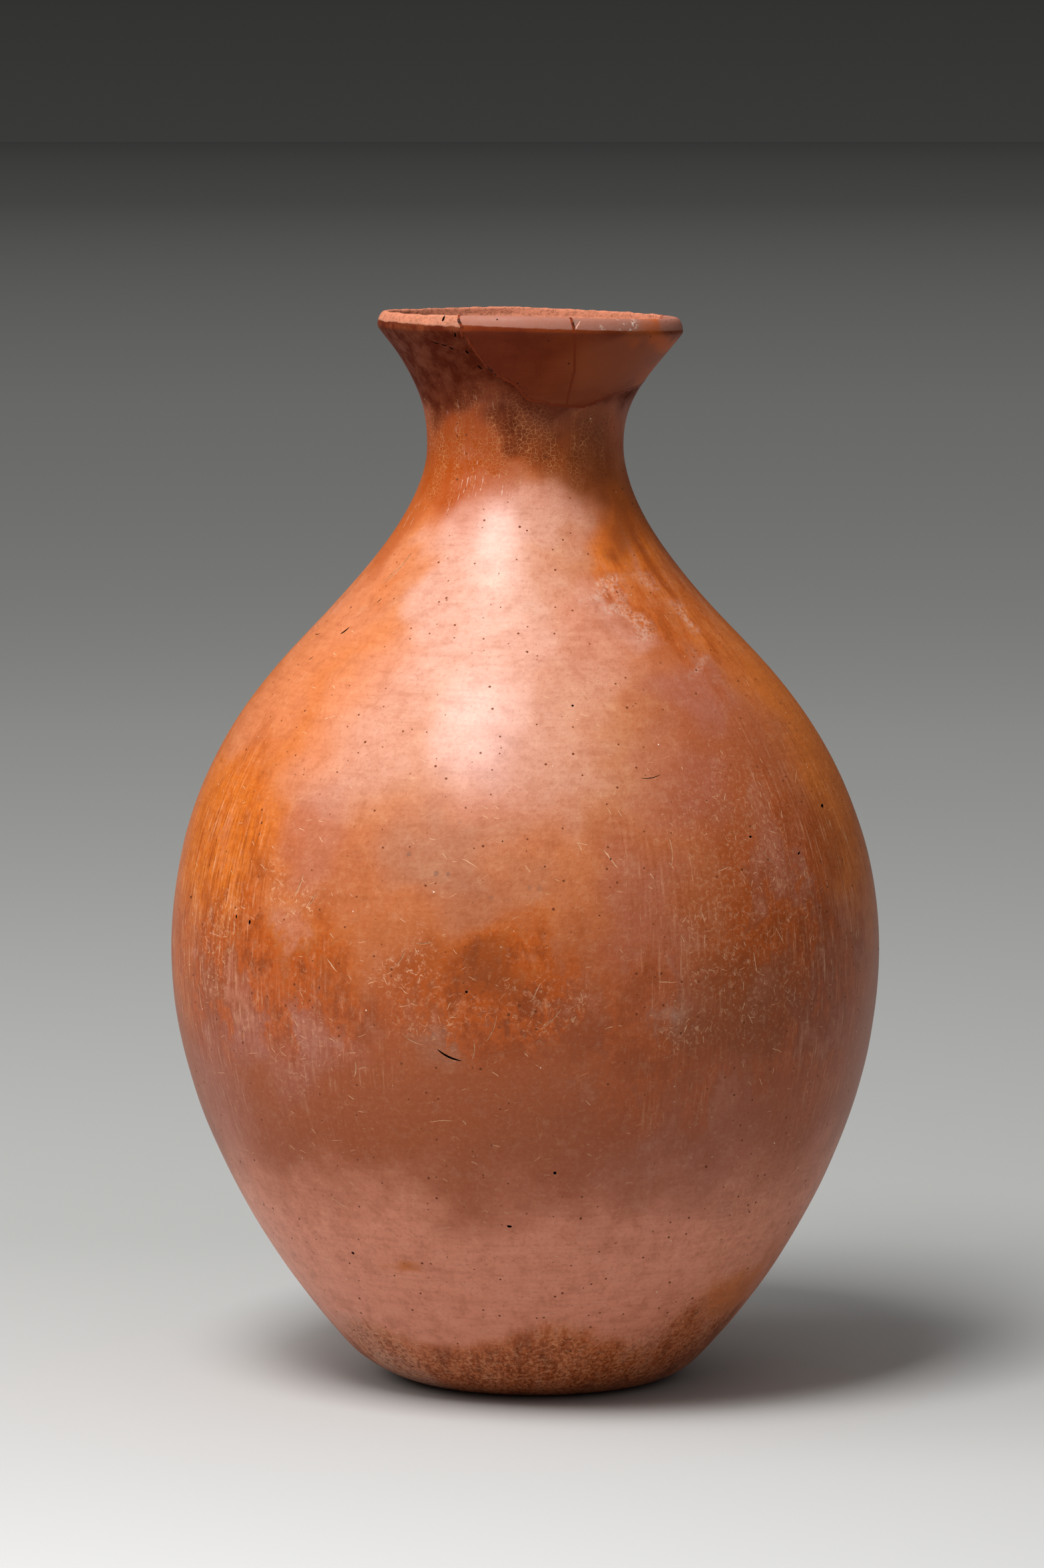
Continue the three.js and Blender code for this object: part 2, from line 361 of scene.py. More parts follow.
# adds a node, sets what is named, and sets or links its inputs. A node stands for its first live output.
def addNode(tree, kind, inputs, **settings):
    node = tree.nodes.new("ShaderNode" + kind)
    for name, value in settings.items():
        setattr(node, name, value)
    for name, value in inputs.items():
        if isinstance(name, int):
            socket = node.inputs[name]
        else:
            socket = next(s for s in node.inputs if s.enabled and s.name == name)
        if isinstance(value, bpy.types.Node):
            value = next(s for s in value.outputs if s.enabled)
        if isinstance(value, bpy.types.NodeSocket):
            tree.links.new(value, socket)
        else:
            socket.default_value = value
    return node


# how many cells a pattern has to the metre when one measures this many millimetres
def cells(size):
    return 1 / (size * mm)


# an empty material, its tree, and the place on a piece that its patterns are drawn from
def newMaterial(name):
    material = bpy.data.materials.new(name)
    material.use_nodes = True
    tree = material.node_tree
    tree.nodes.clear()
    return material, tree, addNode(tree, "TexCoord", {}).outputs["Object"]


# the place with a wander added, so that what is drawn from it has loose edges
def wandering(tree, place, size, reach):
    cloud = addNode(
        tree, "TexNoise", {"Vector": place, "Scale": cells(size), "Detail": 3.0, "Roughness": 0.6}
    )
    centred = addNode(
        tree, "VectorMath", {0: cloud.outputs["Color"], 1: (0.5, 0.5, 0.5)}, operation="SUBTRACT"
    )
    sized = addNode(tree, "VectorMath", {0: centred, "Scale": 2 * reach * mm}, operation="SCALE")
    return addNode(tree, "VectorMath", {0: place, 1: sized}, operation="ADD")


# the wall unrolled without a seam: round the flask one way, up it the other, each stretched as asked
def unrolled(tree, place, around, upward):
    level = addNode(tree, "VectorMath", {0: place, 1: (1, 1, 0)}, operation="MULTIPLY")
    facing = addNode(tree, "VectorMath", {0: level}, operation="NORMALIZE")
    girth = addNode(
        tree, "VectorMath", {0: facing, "Scale": outline["belly"][0] * mm * around}, operation="SCALE"
    )
    upright = addNode(tree, "VectorMath", {0: place, 1: (0, 0, upward)}, operation="MULTIPLY")
    return addNode(tree, "VectorMath", {0: girth, 1: upright}, operation="ADD")


# a mask kept to where a list of spots was painted
def onSpots(tree, mask, name):
    spots = addNode(tree, "Attribute", {}, attribute_name=name).outputs["Fac"]
    return addNode(tree, "Math", {0: mask, 1: spots}, operation="MULTIPLY", use_clamp=True)


# a cell of the pattern may hold a short straight scratch along the wall, at any angle. A mask says in which
# share of the cells.
def scratches(tree, place, spacing, width, share):
    cell = addNode(tree, "TexVoronoi", {"Vector": place, "Scale": cells(spacing)})
    draw = addNode(tree, "SeparateColor", {0: cell.outputs["Color"]})
    slant = addNode(tree, "VectorMath", {0: cell.outputs["Color"], 1: (0.5, 0.5, 0.5)}, operation="SUBTRACT")
    outOfWall = addNode(tree, "TexCoord", {}).outputs["Normal"]
    alongWall = addNode(tree, "VectorMath", {0: outOfWall, 1: slant}, operation="CROSS_PRODUCT")
    across = addNode(tree, "VectorMath", {0: alongWall}, operation="NORMALIZE")
    offset = addNode(tree, "VectorMath", {0: place, 1: cell.outputs["Position"]}, operation="SUBTRACT")
    side = addNode(tree, "VectorMath", {0: offset, 1: across}, operation="DOT_PRODUCT")
    gap = addNode(tree, "Math", {0: side}, operation="ABSOLUTE")
    line = addNode(tree, "MapRange", {"Value": gap, "From Min": width / 2 * mm, "From Max": width / 6 * mm})
    half = addNode(tree, "MapRange", {"Value": draw.outputs["Green"], "To Min": 0.12, "To Max": 0.5})
    left = addNode(tree, "Math", {0: half, 1: cell.outputs["Distance"]}, operation="SUBTRACT")
    ends = addNode(tree, "MapRange", {"Value": left, "From Min": 0.0, "From Max": 0.15})
    faint = addNode(tree, "MapRange", {"Value": draw.outputs["Blue"], "To Min": 0.15, "To Max": 0.9})
    short = addNode(tree, "Math", {0: line, 1: ends}, operation="MULTIPLY")
    scratch = addNode(tree, "Math", {0: short, 1: faint}, operation="MULTIPLY")
    chosen = addNode(tree, "Math", {0: draw, 1: share}, operation="LESS_THAN")
    return addNode(tree, "Math", {0: scratch, 1: chosen}, operation="MULTIPLY")


# curled hairlines: the level lines of one noise, broken up by a finer one
def hairlines(tree, place, size, width):
    waves = addNode(
        tree, "TexNoise", {"Vector": place, "Scale": cells(size), "Detail": 1.5, "Roughness": 0.6}
    )
    off = addNode(tree, "Math", {0: waves, 1: 0.5}, operation="SUBTRACT")
    gap = addNode(tree, "Math", {0: off}, operation="ABSOLUTE")
    line = addNode(tree, "MapRange", {"Value": gap, "From Min": width / size, "From Max": width / size / 3})
    breaks = addNode(tree, "TexNoise", {"Vector": place, "Scale": cells(size / 2), "Detail": 3.0})
    kept = addNode(tree, "MapRange", {"Value": breaks, "From Min": 0.53, "From Max": 0.6})
    return addNode(tree, "Math", {0: line, 1: kept}, operation="MULTIPLY")


# round marks of mixed size, in a share of the cells of a given spacing
def dots(tree, place, spacing, smallest, largest, share):
    cell = addNode(tree, "TexVoronoi", {"Vector": place, "Scale": cells(spacing)})
    draw = addNode(tree, "SeparateColor", {0: cell.outputs["Color"]})
    radius = addNode(
        tree, "MapRange",
        {"Value": draw.outputs["Green"], "To Min": smallest / spacing, "To Max": largest / spacing},
    )
    left = addNode(tree, "Math", {0: radius, 1: cell.outputs["Distance"]}, operation="SUBTRACT")
    dot = addNode(tree, "MapRange", {"Value": left, "From Min": 0.0, "From Max": smallest / spacing})
    chosen = addNode(tree, "Math", {0: draw, 1: share}, operation="LESS_THAN")
    return addNode(tree, "Math", {0: dot, 1: chosen}, operation="MULTIPLY")


# the burnished slip: its colours and its shine
slip = {
    "red": "#bd6c3f",
    "ruddy": "#a4532d",
    "peach": "#c18863",
    "orange": "#cd6a17",
    "burnt": "#8c3b06",
    "ember": "#b5500a",
    "brown": "#984110",
    "rosy": "#e08c6e",
    "haze": "#a1725a",
    "smudge": "#6f5045",
    "mauve": "#a8624f",
    "milky": "#be765a",
    # painted light: the pale pink of a painted sheen and of bounce light
    "paintedLight": "#d19d8e",
    "neck": "#9c4104",
    "umber": "#813c14",
    "darkRed": "#551b04",
    "pale": "#e6b48c",
    "cream": "#bb7848",
    "chalk": "#ecd6c2",
    "bareClay": "#9c7c67",
    "grit": "#86543c",
    "warmLip": "#bb755a",
    "speck": "#74391c",
    "soot": "#3a1a0e",
    "roughness": 0.58,
    "gloss": 0.12,
    "coat": 0.56,
    "coatRoughness": 0.33,
    "dull": 0.85,
}

# where the wall shows each tone and wear, some of them painted light and shade: degrees round from the front,
# height, half width and half height in millimetres, and strength
wallSpots = {
    # paler and pinker towards the foot: partly the slip's tone, partly a painted reflection of the pale floor
    "rosy": [
        (0, 24, 400, 40, 1), (-30, 38, 60, 16, 0.3), (64, 50, 14, 20, 0.4), (-68, 52, 14, 22, 0.6),
        (150, 48, 50, 18, 0.5),
    ],
    "patchy": [
        (-52, 104, 52, 24, 1), (-4, 106, 26, 17, 1), (50, 110, 34, 40, 0.75), (-60, 134, 24, 30, 0.5),
        (18, 100, 20, 24, 0.6), (30, 84, 40, 14, 0.5), (140, 110, 50, 40, 0.8), (-140, 96, 50, 40, 0.8),
        (0, 9, 400, 12, 0.75), (56, 190, 22, 24, 0.6),
    ],
    # brown: a band round the belly below its widest, partly painted shade where the light falls away, and
    # patches, on the right flank partly painted shade
    "brown": [
        (0, 84, 400, 40, 0.8), (8, 84, 34, 16, 0.7), (-48, 90, 44, 16, 0.95), (-74, 94, 20, 20, 0.6),
        (44, 112, 30, 26, 0.8), (170, 100, 44, 30, 0.7), (-110, 84, 30, 18, 0.6),
    ],
    # deeper red: the slip's tone, and on the right flank partly painted shade
    "ruddy": [
        (44, 144, 28, 38, 1), (24, 118, 24, 30, 0.6), (38, 94, 26, 24, 0.6), (0, 4, 400, 14, 0.15),
        (-43, 92, 24, 16, 0.5), (40, 178, 16, 18, 0.4), (12, 60, 60, 14, 0.4), (-130, 140, 40, 34, 0.7),
        (150, 170, 40, 26, 0.6), (105, 60, 40, 20, 0.5),
    ],
    # painted light: a pale pink sheen round the highlights of the shoulders and neck, and painted bounce
    # light at the left of the foot
    "paintedLight": [
        (-26, 196, 15, 34, 0.6), (-8, 180, 18, 34, 0.55), (-34, 166, 22, 22, 0.4), (30, 192, 12, 8, 0.4),
        (-68, 176, 20, 36, 0.3), (4, 160, 20, 22, 0.35), (-62, 4, 22, 18, 1), (22, 213, 16, 10, 0.25),
        (-12, 216, 20, 9, 0.5), (11, 184, 17, 26, 0.35), (-4, 208, 14, 10, 0.5),
    ],
    # paler peach on the shoulders: the slip's tone, and in front partly a painted highlight haze
    "peach": [
        (-18, 190, 26, 26, 0.8), (-8, 174, 20, 18, 0.5), (-36, 178, 18, 22, 0.4), (12, 160, 22, 26, 0.45),
        (8, 204, 20, 12, 0.5), (-28, 160, 24, 18, 0.4), (120, 190, 30, 20, 0.5), (-140, 186, 30, 20, 0.5),
    ],
    "orange": [
        (-63, 136, 34, 28, 1), (-60, 168, 36, 26, 0.5), (-74, 104, 14, 20, 0.5), (-66, 200, 18, 26, 0.4),
        (-36, 112, 18, 12, 0.4), (-6, 114, 16, 10, 0.5), (75, 150, 22, 52, 0.8), (56, 208, 15, 18, 0.9),
        (50, 193, 12, 10, 0.5), (62, 186, 12, 14, 0.6), (57, 26, 18, 12, 0.8), (0, 8, 400, 12, 0.65),
        (-28, 33.3, 5, 2.4, 0.9), (150, 130, 40, 34, 0.8), (-150, 90, 36, 28, 0.6),
        (118, 176, 28, 22, 0.6), (-118, 190, 24, 18, 0.7),
    ],
    "burnt": [
        (-4, 103, 14, 12, 1), (-16, 112, 8, 6, 0.6), (-26, 101, 8, 9, 0.7), (8, 95, 12, 7, 0.6),
        (-34, 104, 16, 8, 0.4), (56, 104, 18, 24, 0.8), (40, 122, 10, 14, 0.4), (58, 216, 12, 14, 0.4),
        (-58, 104, 20, 16, 0.5), (62, 134, 12, 14, 0.5), (-74, 60, 14, 12, 0.3), (170, 112, 24, 20, 0.6),
    ],
    "haze": [
        (-13, 138, 19, 12, 0.5), (-8, 128, 14, 10, 0.3), (22, 101, 9, 9, 0.5), (-12, 93, 7, 9, 0.4),
        (160, 150, 26, 20, 0.5),
    ],
    "mauve": [
        (-38, 142, 12, 16, 0.5), (-44, 90, 26, 14, 0.85), (40, 172, 16, 12, 0.7), (30, 150, 16, 14, 0.4),
        (30, 62, 30, 20, 0.4), (20, 118, 14, 20, 0.5), (-64, 72, 16, 22, 0.5), (48, 130, 16, 14, 0.4),
        (110, 130, 40, 30, 0.5),
    ],
    "neck": [
        (-54, 228, 23, 18, 1), (60, 216, 14, 14, 0.4), (-76, 208, 12, 18, 0.6), (0, 235, 400, 11, 0.9),
        (-150, 222, 40, 14, 0.8),
    ],
    "umber": [
        (36, 226, 15, 14, 1), (14, 237, 20, 6, 0.8), (54, 210, 6, 12, 0.6), (170, 226, 24, 12, 0.8),
        (-6, 111, 11, 8, 0.7), (37, 98, 22, 17, 0.55),
    ],
    # dark red: a patch on the neck, and painted shade on the flare under the lip, all round
    "darkRed": [
        (-8, 234, 9, 6, 0.75), (-54, 244, 26, 11, 1), (15, 243, 40, 6, 0.8), (0, 252, 400, 16, 1),
    ],
    "chafed": [
        (-40, 126, 10, 9, 0.9), (-59, 112, 14, 16, 0.9), (-19, 113, 9, 7, 1), (2, 104, 13, 10, 0.8),
        (-14, 102, 9, 9, 0.7), (24, 98, 13, 11, 0.8), (40, 120, 28, 46, 0.6), (-40, 92, 22, 18, 0.5),
        (48, 40, 22, 24, 0.6), (110, 120, 34, 44, 0.6), (-140, 100, 34, 34, 0.6), (170, 60, 34, 24, 0.5),
        (0, 6, 400, 17, 0.6), (0, 100, 400, 90, 0.2),
    ],
    "scuffed": [
        (43, 193.4, 5.5, 3, 0.6), (37, 190.5, 7, 1.8, 0.5), (55.5, 188.3, 3.6, 3, 0.5),
        (30.5, 191, 6, 1.6, 0.4), (46, 178, 9, 2, 0.4), (-60, 3, 18, 6, 0.5), (23, 100.5, 4, 2.6, 0.4),
        (-3, 189, 5, 2, 0.3), (120, 160, 5, 2.6, 0.5),
    ],
    "flecked": [
        (-41, 218, 4, 4, 0.9), (-27, 220, 4, 3, 0.9), (-50, 230, 5, 3, 0.8), (-36, 237, 9, 3, 0.9),
        (-62, 211, 4, 6, 0.9), (-12, 219, 6, 4, 0.5), (160, 228, 16, 9, 0.8),
    ],
    "streaked": [
        (-64, 110, 32, 50, 1), (60, 116, 30, 56, 0.8), (25, 104, 18, 50, 0.5), (-34, 92, 22, 26, 0.5),
        (120, 110, 44, 50, 0.9), (-120, 110, 44, 50, 0.9), (180, 110, 34, 50, 0.6),
    ],
    "heelWorn": [(0, 0, 400, 18, 1), (45, 10, 24, 14, 0.7), (150, 8, 40, 14, 0.6)],
    "crackled": [
        (-20, 230, 30, 13, 1), (-52, 227, 24, 14, 0.8), (28, 230, 26, 12, 0.4), (180, 229, 90, 14, 0.7),
    ],
    "warmLip": [(180, 258, 150, 14, 1)],
}
spotEdges = {
    "wanderSize": 17,
    "wander": 9,
    "finerWander": (3.1, 0.4),
    "fadesOut": 1.15,      # a spot ends at this many times its half size
    "softness": 0.7,
    "starts": (Vector((3.1, 7.7, 1.9)), Vector((41.3, 5.2, 17.6))),
}


# paints the spots on a piece, one attribute for each list of them, with wandering edges
def paintSpots(piece, lists):
    points = [vert.co for vert in piece.data.vertices]
    size = spotEdges["wanderSize"] * mm
    finer, share = spotEdges["finerWander"]
    drifts = []
    for point in points:
        near = point / size
        drifts.append([
            noise.noise(near + start) + share * noise.noise(near * finer + start)
            for start in spotEdges["starts"]
        ])
    drift = numpy.array(drifts) * spotEdges["wander"]
    flat = numpy.array(points) / mm
    radii = numpy.hypot(flat[:, 0], flat[:, 1])
    angles = numpy.arctan2(flat[:, 0], -flat[:, 1])
    heights = flat[:, 2] + drift[:, 1]
    for name, spots in lists.items():
        shade = numpy.zeros(len(points))
        for degrees, height, halfWide, halfTall, strength in spots:
            turned = (angles - math.radians(degrees) + math.pi) % math.tau - math.pi
            wide = (turned * radii + drift[:, 0]) / halfWide
            reach = numpy.hypot(wide, (heights - height) / halfTall)
            spot = numpy.clip((spotEdges["fadesOut"] - reach) / spotEdges["softness"], 0, 1)
            shade = numpy.maximum(shade, strength * spot * spot * (3 - 2 * spot))
        attribute = piece.data.attributes.new(name, "FLOAT", "POINT")
        attribute.data.foreach_set("value", shade)


# a surface before its layers, in the first of its colours
def newSurface(tree, finish, first):
    return {"tree": tree, "finish": finish, "tone": paint(finish[first]), "relief": 0.0, "wear": 0.0}


# adds one layer to a surface: one of its colours, how far it stands out in millimetres and how dull it is
def addLayer(surface, mask, colour=None, stands=0.0, dull=0.0):
    tree = surface["tree"]
    if colour:
        tint = paint(surface["finish"][colour])
        surface["tone"] = addNode(
            tree, "Mix", {"Factor": mask, "A": surface["tone"], "B": tint}, data_type="RGBA"
        )
    if stands:
        surface["relief"] = addNode(
            tree, "Math", {0: mask, 1: stands, 2: surface["relief"]}, operation="MULTIPLY_ADD"
        )
    if dull:
        worn = addNode(tree, "Math", {0: mask, 1: dull}, operation="MULTIPLY")
        surface["wear"] = addNode(tree, "Math", {0: surface["wear"], 1: worn}, operation="MAXIMUM")


# adds a layer where a pattern passes from one value to another, up to a share: within another mask, and kept
# to a list of spots, if they are named
def addBand(surface, pattern, band, colour, spots=None, within=None, **effects):
    tree = surface["tree"]
    low, high, share = band
    mask = addNode(tree, "MapRange", {"Value": pattern, "From Min": low, "From Max": high, "To Max": share})
    if within is not None:
        mask = addNode(tree, "Math", {0: mask, 1: within}, operation="MULTIPLY")
    if spots is not None:
        mask = onSpots(tree, mask, spots)
    addLayer(surface, mask, colour, **effects)


# adds the fine level lines of wiping
def addWiping(surface, place, squeeze, size, share, colour):
    tree = surface["tree"]
    wiping = addNode(
        tree, "TexNoise",
        {"Vector": unrolled(tree, place, squeeze, 1), "Scale": cells(size), "Detail": 2.0, "Roughness": 0.6},
    )
    addBand(surface, wiping, (0.45, 0.7, share), colour)


# a mask of what stands above two heights of the tilted mouth, from none at the lower to all at the upper
def aboveTilted(tree, place, lower, upper):
    tiltedBack = addNode(tree, "VectorMath", {0: place, 1: (mouthSlope, 0, 1)}, operation="DOT_PRODUCT")
    return addNode(tree, "MapRange", {"Value": tiltedBack, "From Min": lower * mm, "From Max": upper * mm})


# clouds of deeper red, then the painted spots with mottled edges: the slip's stains and tones, and with them
# painted light and shade, a pale sheen by the highlights, shade below the belly, on the right and under the
# flare, and the pale floor's reflection near the foot
def addStains(tree, surface, place):
    clouds = addNode(
        tree, "TexNoise", {"Vector": place, "Scale": cells(36), "Detail": 5.0, "Roughness": 0.62}
    )
    addBand(surface, clouds, (0.46, 0.68, 0.6), "ruddy")
    mottle = addNode(
        tree, "TexNoise", {"Vector": place, "Scale": cells(4.5), "Detail": 6.0, "Roughness": 0.68}
    )
    edges = addNode(
        tree, "MapRange", {"Value": mottle, "From Min": 0.32, "From Max": 0.62, "To Min": 1.1, "To Max": 0.8}
    )
    for name in ("brown", "rosy", "ruddy", "peach", "paintedLight", "orange", "mauve", "burnt", "haze"):
        addLayer(surface, onSpots(tree, edges, name), name)
    return mottle, edges


# where hands held the flask its coat is rubbed into patches, burnt orange between milky mauve
def addPatches(tree, surface, place):
    patches = addNode(
        tree, "TexNoise",
        {"Vector": unrolled(tree, place, 1, 0.7), "Scale": cells(13), "Detail": 7.0, "Roughness": 0.7},
    )
    addBand(surface, patches, (0.48, 0.53, 0.9), "ember", "patchy")
    addBand(surface, patches, (0.54, 0.62, 0.9), "burnt", "patchy")
    addBand(surface, patches, (0.46, 0.38, 0.7), "milky", "patchy")
    return patches


# mottling of the clay itself, and the powdery grain of its surface
def addGrain(tree, surface, place, mottle):
    addBand(surface, mottle, (0.5, 0.7, 0.24), "burnt")
    addBand(surface, mottle, (0.46, 0.3, 0.12), "pale")
    addLayer(surface, mottle, stands=0.05, dull=0.12)
    grain = addNode(
        tree, "TexNoise", {"Vector": place, "Scale": cells(1.1), "Detail": 3.0, "Roughness": 0.75}
    )
    addBand(surface, grain, (0.52, 0.7, 0.3), "burnt", stands=-0.05, dull=0.5)
    addLayer(surface, grain, stands=0.14)
    return grain


# rubbing streaks up and down the flanks, under a millimetre wide and about 9 mm long, and wiping
def addStreaks(tree, surface, place):
    strokes = addNode(
        tree, "TexNoise",
        {"Vector": unrolled(tree, place, 1, 0.09), "Scale": cells(0.8), "Detail": 3.0, "Roughness": 0.65},
    )
    addBand(surface, strokes, (0.5, 0.66, 0.7), "burnt", "streaked")
    addBand(surface, strokes, (0.42, 0.28, 0.55), "pale", "streaked")
    addWiping(surface, place, 0.05, 0.9, 0.14, "burnt")


# the heel is worn by standing: dark pitting and pale bloom
def addWornHeel(tree, surface, place):
    crumbs = addNode(
        tree, "TexNoise", {"Vector": place, "Scale": cells(1.0), "Detail": 4.0, "Roughness": 0.75}
    )
    addBand(surface, crumbs, (0.52, 0.62, 0.6), "burnt", "heelWorn", stands=-0.25, dull=1.0)
    # the heel is worn by standing: dark pitting and pale powdery wear
    addBand(surface, crumbs, (0.45, 0.37, 0.45), "pale", "heelWorn", dull=1.0)


# the neck has crackled, in cells of about a millimetre, and in upright flecks its coat has lifted
def addNeck(tree, surface, place, bent, patches):
    plates = addNode(tree, "TexVoronoi", {"Vector": bent, "Scale": cells(1.0)}, feature="DISTANCE_TO_EDGE")
    opened = addNode(tree, "MapRange", {"Value": patches, "From Min": 0.42, "From Max": 0.6, "To Max": 0.9})
    addBand(surface, plates, (0.08, 0.02, 1.0), "cream", "crackled", opened, stands=-0.05, dull=0.5)
    lifting = addNode(
        tree, "TexNoise", {"Vector": unrolled(tree, place, 1, 0.4), "Scale": cells(1.2), "Detail": 2.0}
    )
    addBand(surface, lifting, (0.64, 0.7, 0.5), "chalk", "flecked", dull=1.0)


# rubbed pale, and scratched: a few fine marks all over, many where the flask was chafed. Chalky scuffs.
def addChafing(tree, surface, place, bent, grain):
    addBand(surface, grain, (0.47, 0.36, 0.3), "pale", "chafed", dull=0.8)
    chafed = addNode(tree, "Attribute", {}, attribute_name="chafed").outputs["Fac"]
    addLayer(surface, scratches(tree, bent, 2.4, 0.24, chafed), "pale", -0.08, 1.0)
    rarer = addNode(tree, "Math", {0: chafed, 1: 0.6}, operation="MULTIPLY")
    addLayer(surface, scratches(tree, bent, 6.5, 0.3, rarer), "pale", -0.1, 1.0)
    curls = addNode(tree, "Math", {0: hairlines(tree, place, 3.4, 0.06), 1: rarer}, operation="MULTIPLY")
    addLayer(surface, curls, "pale", -0.05, 1.0)
    addBand(surface, grain, (0.4, 0.62, 0.6), "chalk", "scuffed", dull=1.0)


# soft smudges in the grey haze, brown specks, sooty pits and pale grit
def addSpecks(tree, surface, place, bent):
    smudges = dots(tree, bent, 3.2, 0.3, 0.8, 0.6)
    addLayer(surface, onSpots(tree, smudges, "haze"), "smudge")
    addLayer(surface, dots(tree, place, 2.1, 0.12, 0.42, 0.4), "speck", -0.04, 0.8)
    addLayer(surface, dots(tree, place, 6.5, 0.1, 0.28, 0.22), "soot", -0.2, 1.0)
    addLayer(surface, dots(tree, place, 3.1, 0.1, 0.24, 0.2), "chalk")


# the worn lip's bare clay, warmer round the back, and gritty
def addBareLip(tree, surface, bent, grain):
    bareLip = aboveTilted(tree, bent, 256.7, 257.2)
    addLayer(surface, bareLip, "bareClay", dull=1.0)
    addLayer(surface, onSpots(tree, bareLip, "warmLip"), "warmLip")
    addBand(surface, grain, (0.48, 0.66, 0.55), "grit", within=bareLip, stands=-0.2)


# Silt clay under a coat of red ochre slip, rubbed with a pebble before firing: a warm satin sheen, orange
# where the coat is thin, darker where smoke took it, with burnishing streaks, crackle and scratches. Painted
# light
# and shade as well: a pale sheen round the highlights, shade below the belly, on the right flank and under
# the flare, and the pale floor's reflection near the foot.
def burnishedOchreSlip():
    material, tree, place = newMaterial("burnished_ochre_slip")
    surface = newSurface(tree, slip, "red")
    mottle, edges = addStains(tree, surface, place)
    patches = addPatches(tree, surface, place)
    grain = addGrain(tree, surface, place, mottle)
    addStreaks(tree, surface, place)
    addWornHeel(tree, surface, place)
    # the neck is deeper in tone, and the flare above it darker, in painted shade under the lip, and dull
    for name, dull in (("neck", 0.4), ("umber", 0.4), ("darkRed", 1.0)):
        addLayer(surface, onSpots(tree, edges, name), name, dull=dull)
    bent = wandering(tree, place, 3, 0.5)
    addNeck(tree, surface, place, bent, patches)
    addChafing(tree, surface, place, bent, grain)
    addSpecks(tree, surface, place, bent)
    addBareLip(tree, surface, bent, grain)
    finishMaterial(surface)
    return material


# a shader with these inputs becomes the surface of its material
def joinShader(tree, inputs):
    shader = addNode(tree, "BsdfPrincipled", inputs)
    addNode(tree, "OutputMaterial", {"Surface": shader})


# joins a surface's layers to the shader
def finishMaterial(surface):
    tree = surface["tree"]
    finish = surface["finish"]
    bump = addNode(tree, "Bump", {"Height": surface["relief"], "Distance": mm, "Strength": 1.0})
    rough = addNode(
        tree, "MapRange", {"Value": surface["wear"], "To Min": finish["roughness"], "To Max": finish["dull"]}
    )
    coat = addNode(tree, "MapRange", {"Value": surface["wear"], "To Min": finish["coat"], "To Max": 0.0})
    joinShader(tree, {
        "Base Color": surface["tone"], "Roughness": rough, "Specular IOR Level": finish["gloss"],
        "Coat Weight": coat, "Coat Roughness": finish["coatRoughness"], "Normal": bump,
    })


# the clay of the rim pieces: its colours and its shine
rimFill = {
    "flare": "#7c330f",
    "flareDark": "#641f04",
    "orange": "#b0500f",
    "warm": "#96502e",
    "lip": "#9b6656",
    "lipShade": "#9a5e48",
    "chalk": "#eddccb",
    "soot": "#3a1a0e",
    "roughness": 0.6,
    "dull": 0.8,
    "gloss": 0.1,
    "coat": 0.1,
    "coatRoughness": 0.3,
    "lipEdge": (257.15, 257.45),
}
rimSpots = {
    "orange": [(92, 247, 14, 8, 0.6), (75, 249, 9, 5, 0.4)],
    "warm": [(52, 251, 22, 10, 0.6), (40, 243, 16, 5, 0.3)],
    "lipOrange": [(70, 257.2, 15, 3, 0.9)],
    "specked": [(39, 259, 8, 2.2, 0.9)],
}


# Clay pieces of the rim set back and toned in: smoother and duller than the burnished wall, with a dusky lip
def smoothedRimClay():
    material, tree, place = newMaterial("smoothed_rim_clay")
    surface = newSurface(tree, rimFill, "flare")
    bent = wandering(tree, place, 2.5, 0.25)
    clouds = addNode(
        tree, "TexNoise", {"Vector": place, "Scale": cells(16), "Detail": 4.0, "Roughness": 0.6}
    )
    addBand(surface, clouds, (0.42, 0.62, 0.8), "flareDark")
    addWiping(surface, place, 0.06, 1.1, 0.3, "flareDark")
    for name in ("warm", "orange"):
        spots = addNode(tree, "Attribute", {}, attribute_name=name).outputs["Fac"]
        addLayer(surface, spots, name)
    lip = aboveTilted(tree, bent, *rimFill["lipEdge"])
    addLayer(surface, lip, "lip", dull=0.4)
    grain = addNode(
        tree, "TexNoise", {"Vector": place, "Scale": cells(1.2), "Detail": 4.0, "Roughness": 0.75}
    )
    addBand(surface, grain, (0.45, 0.65, 0.5), "lipShade", within=lip)
    addLayer(surface, grain, stands=0.1)
    lipOrange = addNode(tree, "Attribute", {}, attribute_name="lipOrange").outputs["Fac"]
    addLayer(surface, lipOrange, "orange")
    addBand(surface, grain, (0.545, 0.58, 1.0), "chalk", "specked", lip, stands=0.1, dull=1.0)
    cell = addNode(tree, "TexVoronoi", {"Vector": place, "Scale": cells(3.4)})
    addBand(surface, cell, (0.07, 0.04, 1.0), "soot", stands=-0.3, dull=1.0)
    finishMaterial(surface)
    return material


glue = {"dark": "#34170d", "toned": "#7b3114", "smooth": 0.35, "rough": 0.7, "gloss": 0.1}
glueSpots = {"bare": [(-28, 256, 5, 6, 1), (-22, 247, 2, 2, 0.8), (15.5, 260, 4, 3.2, 1)]}


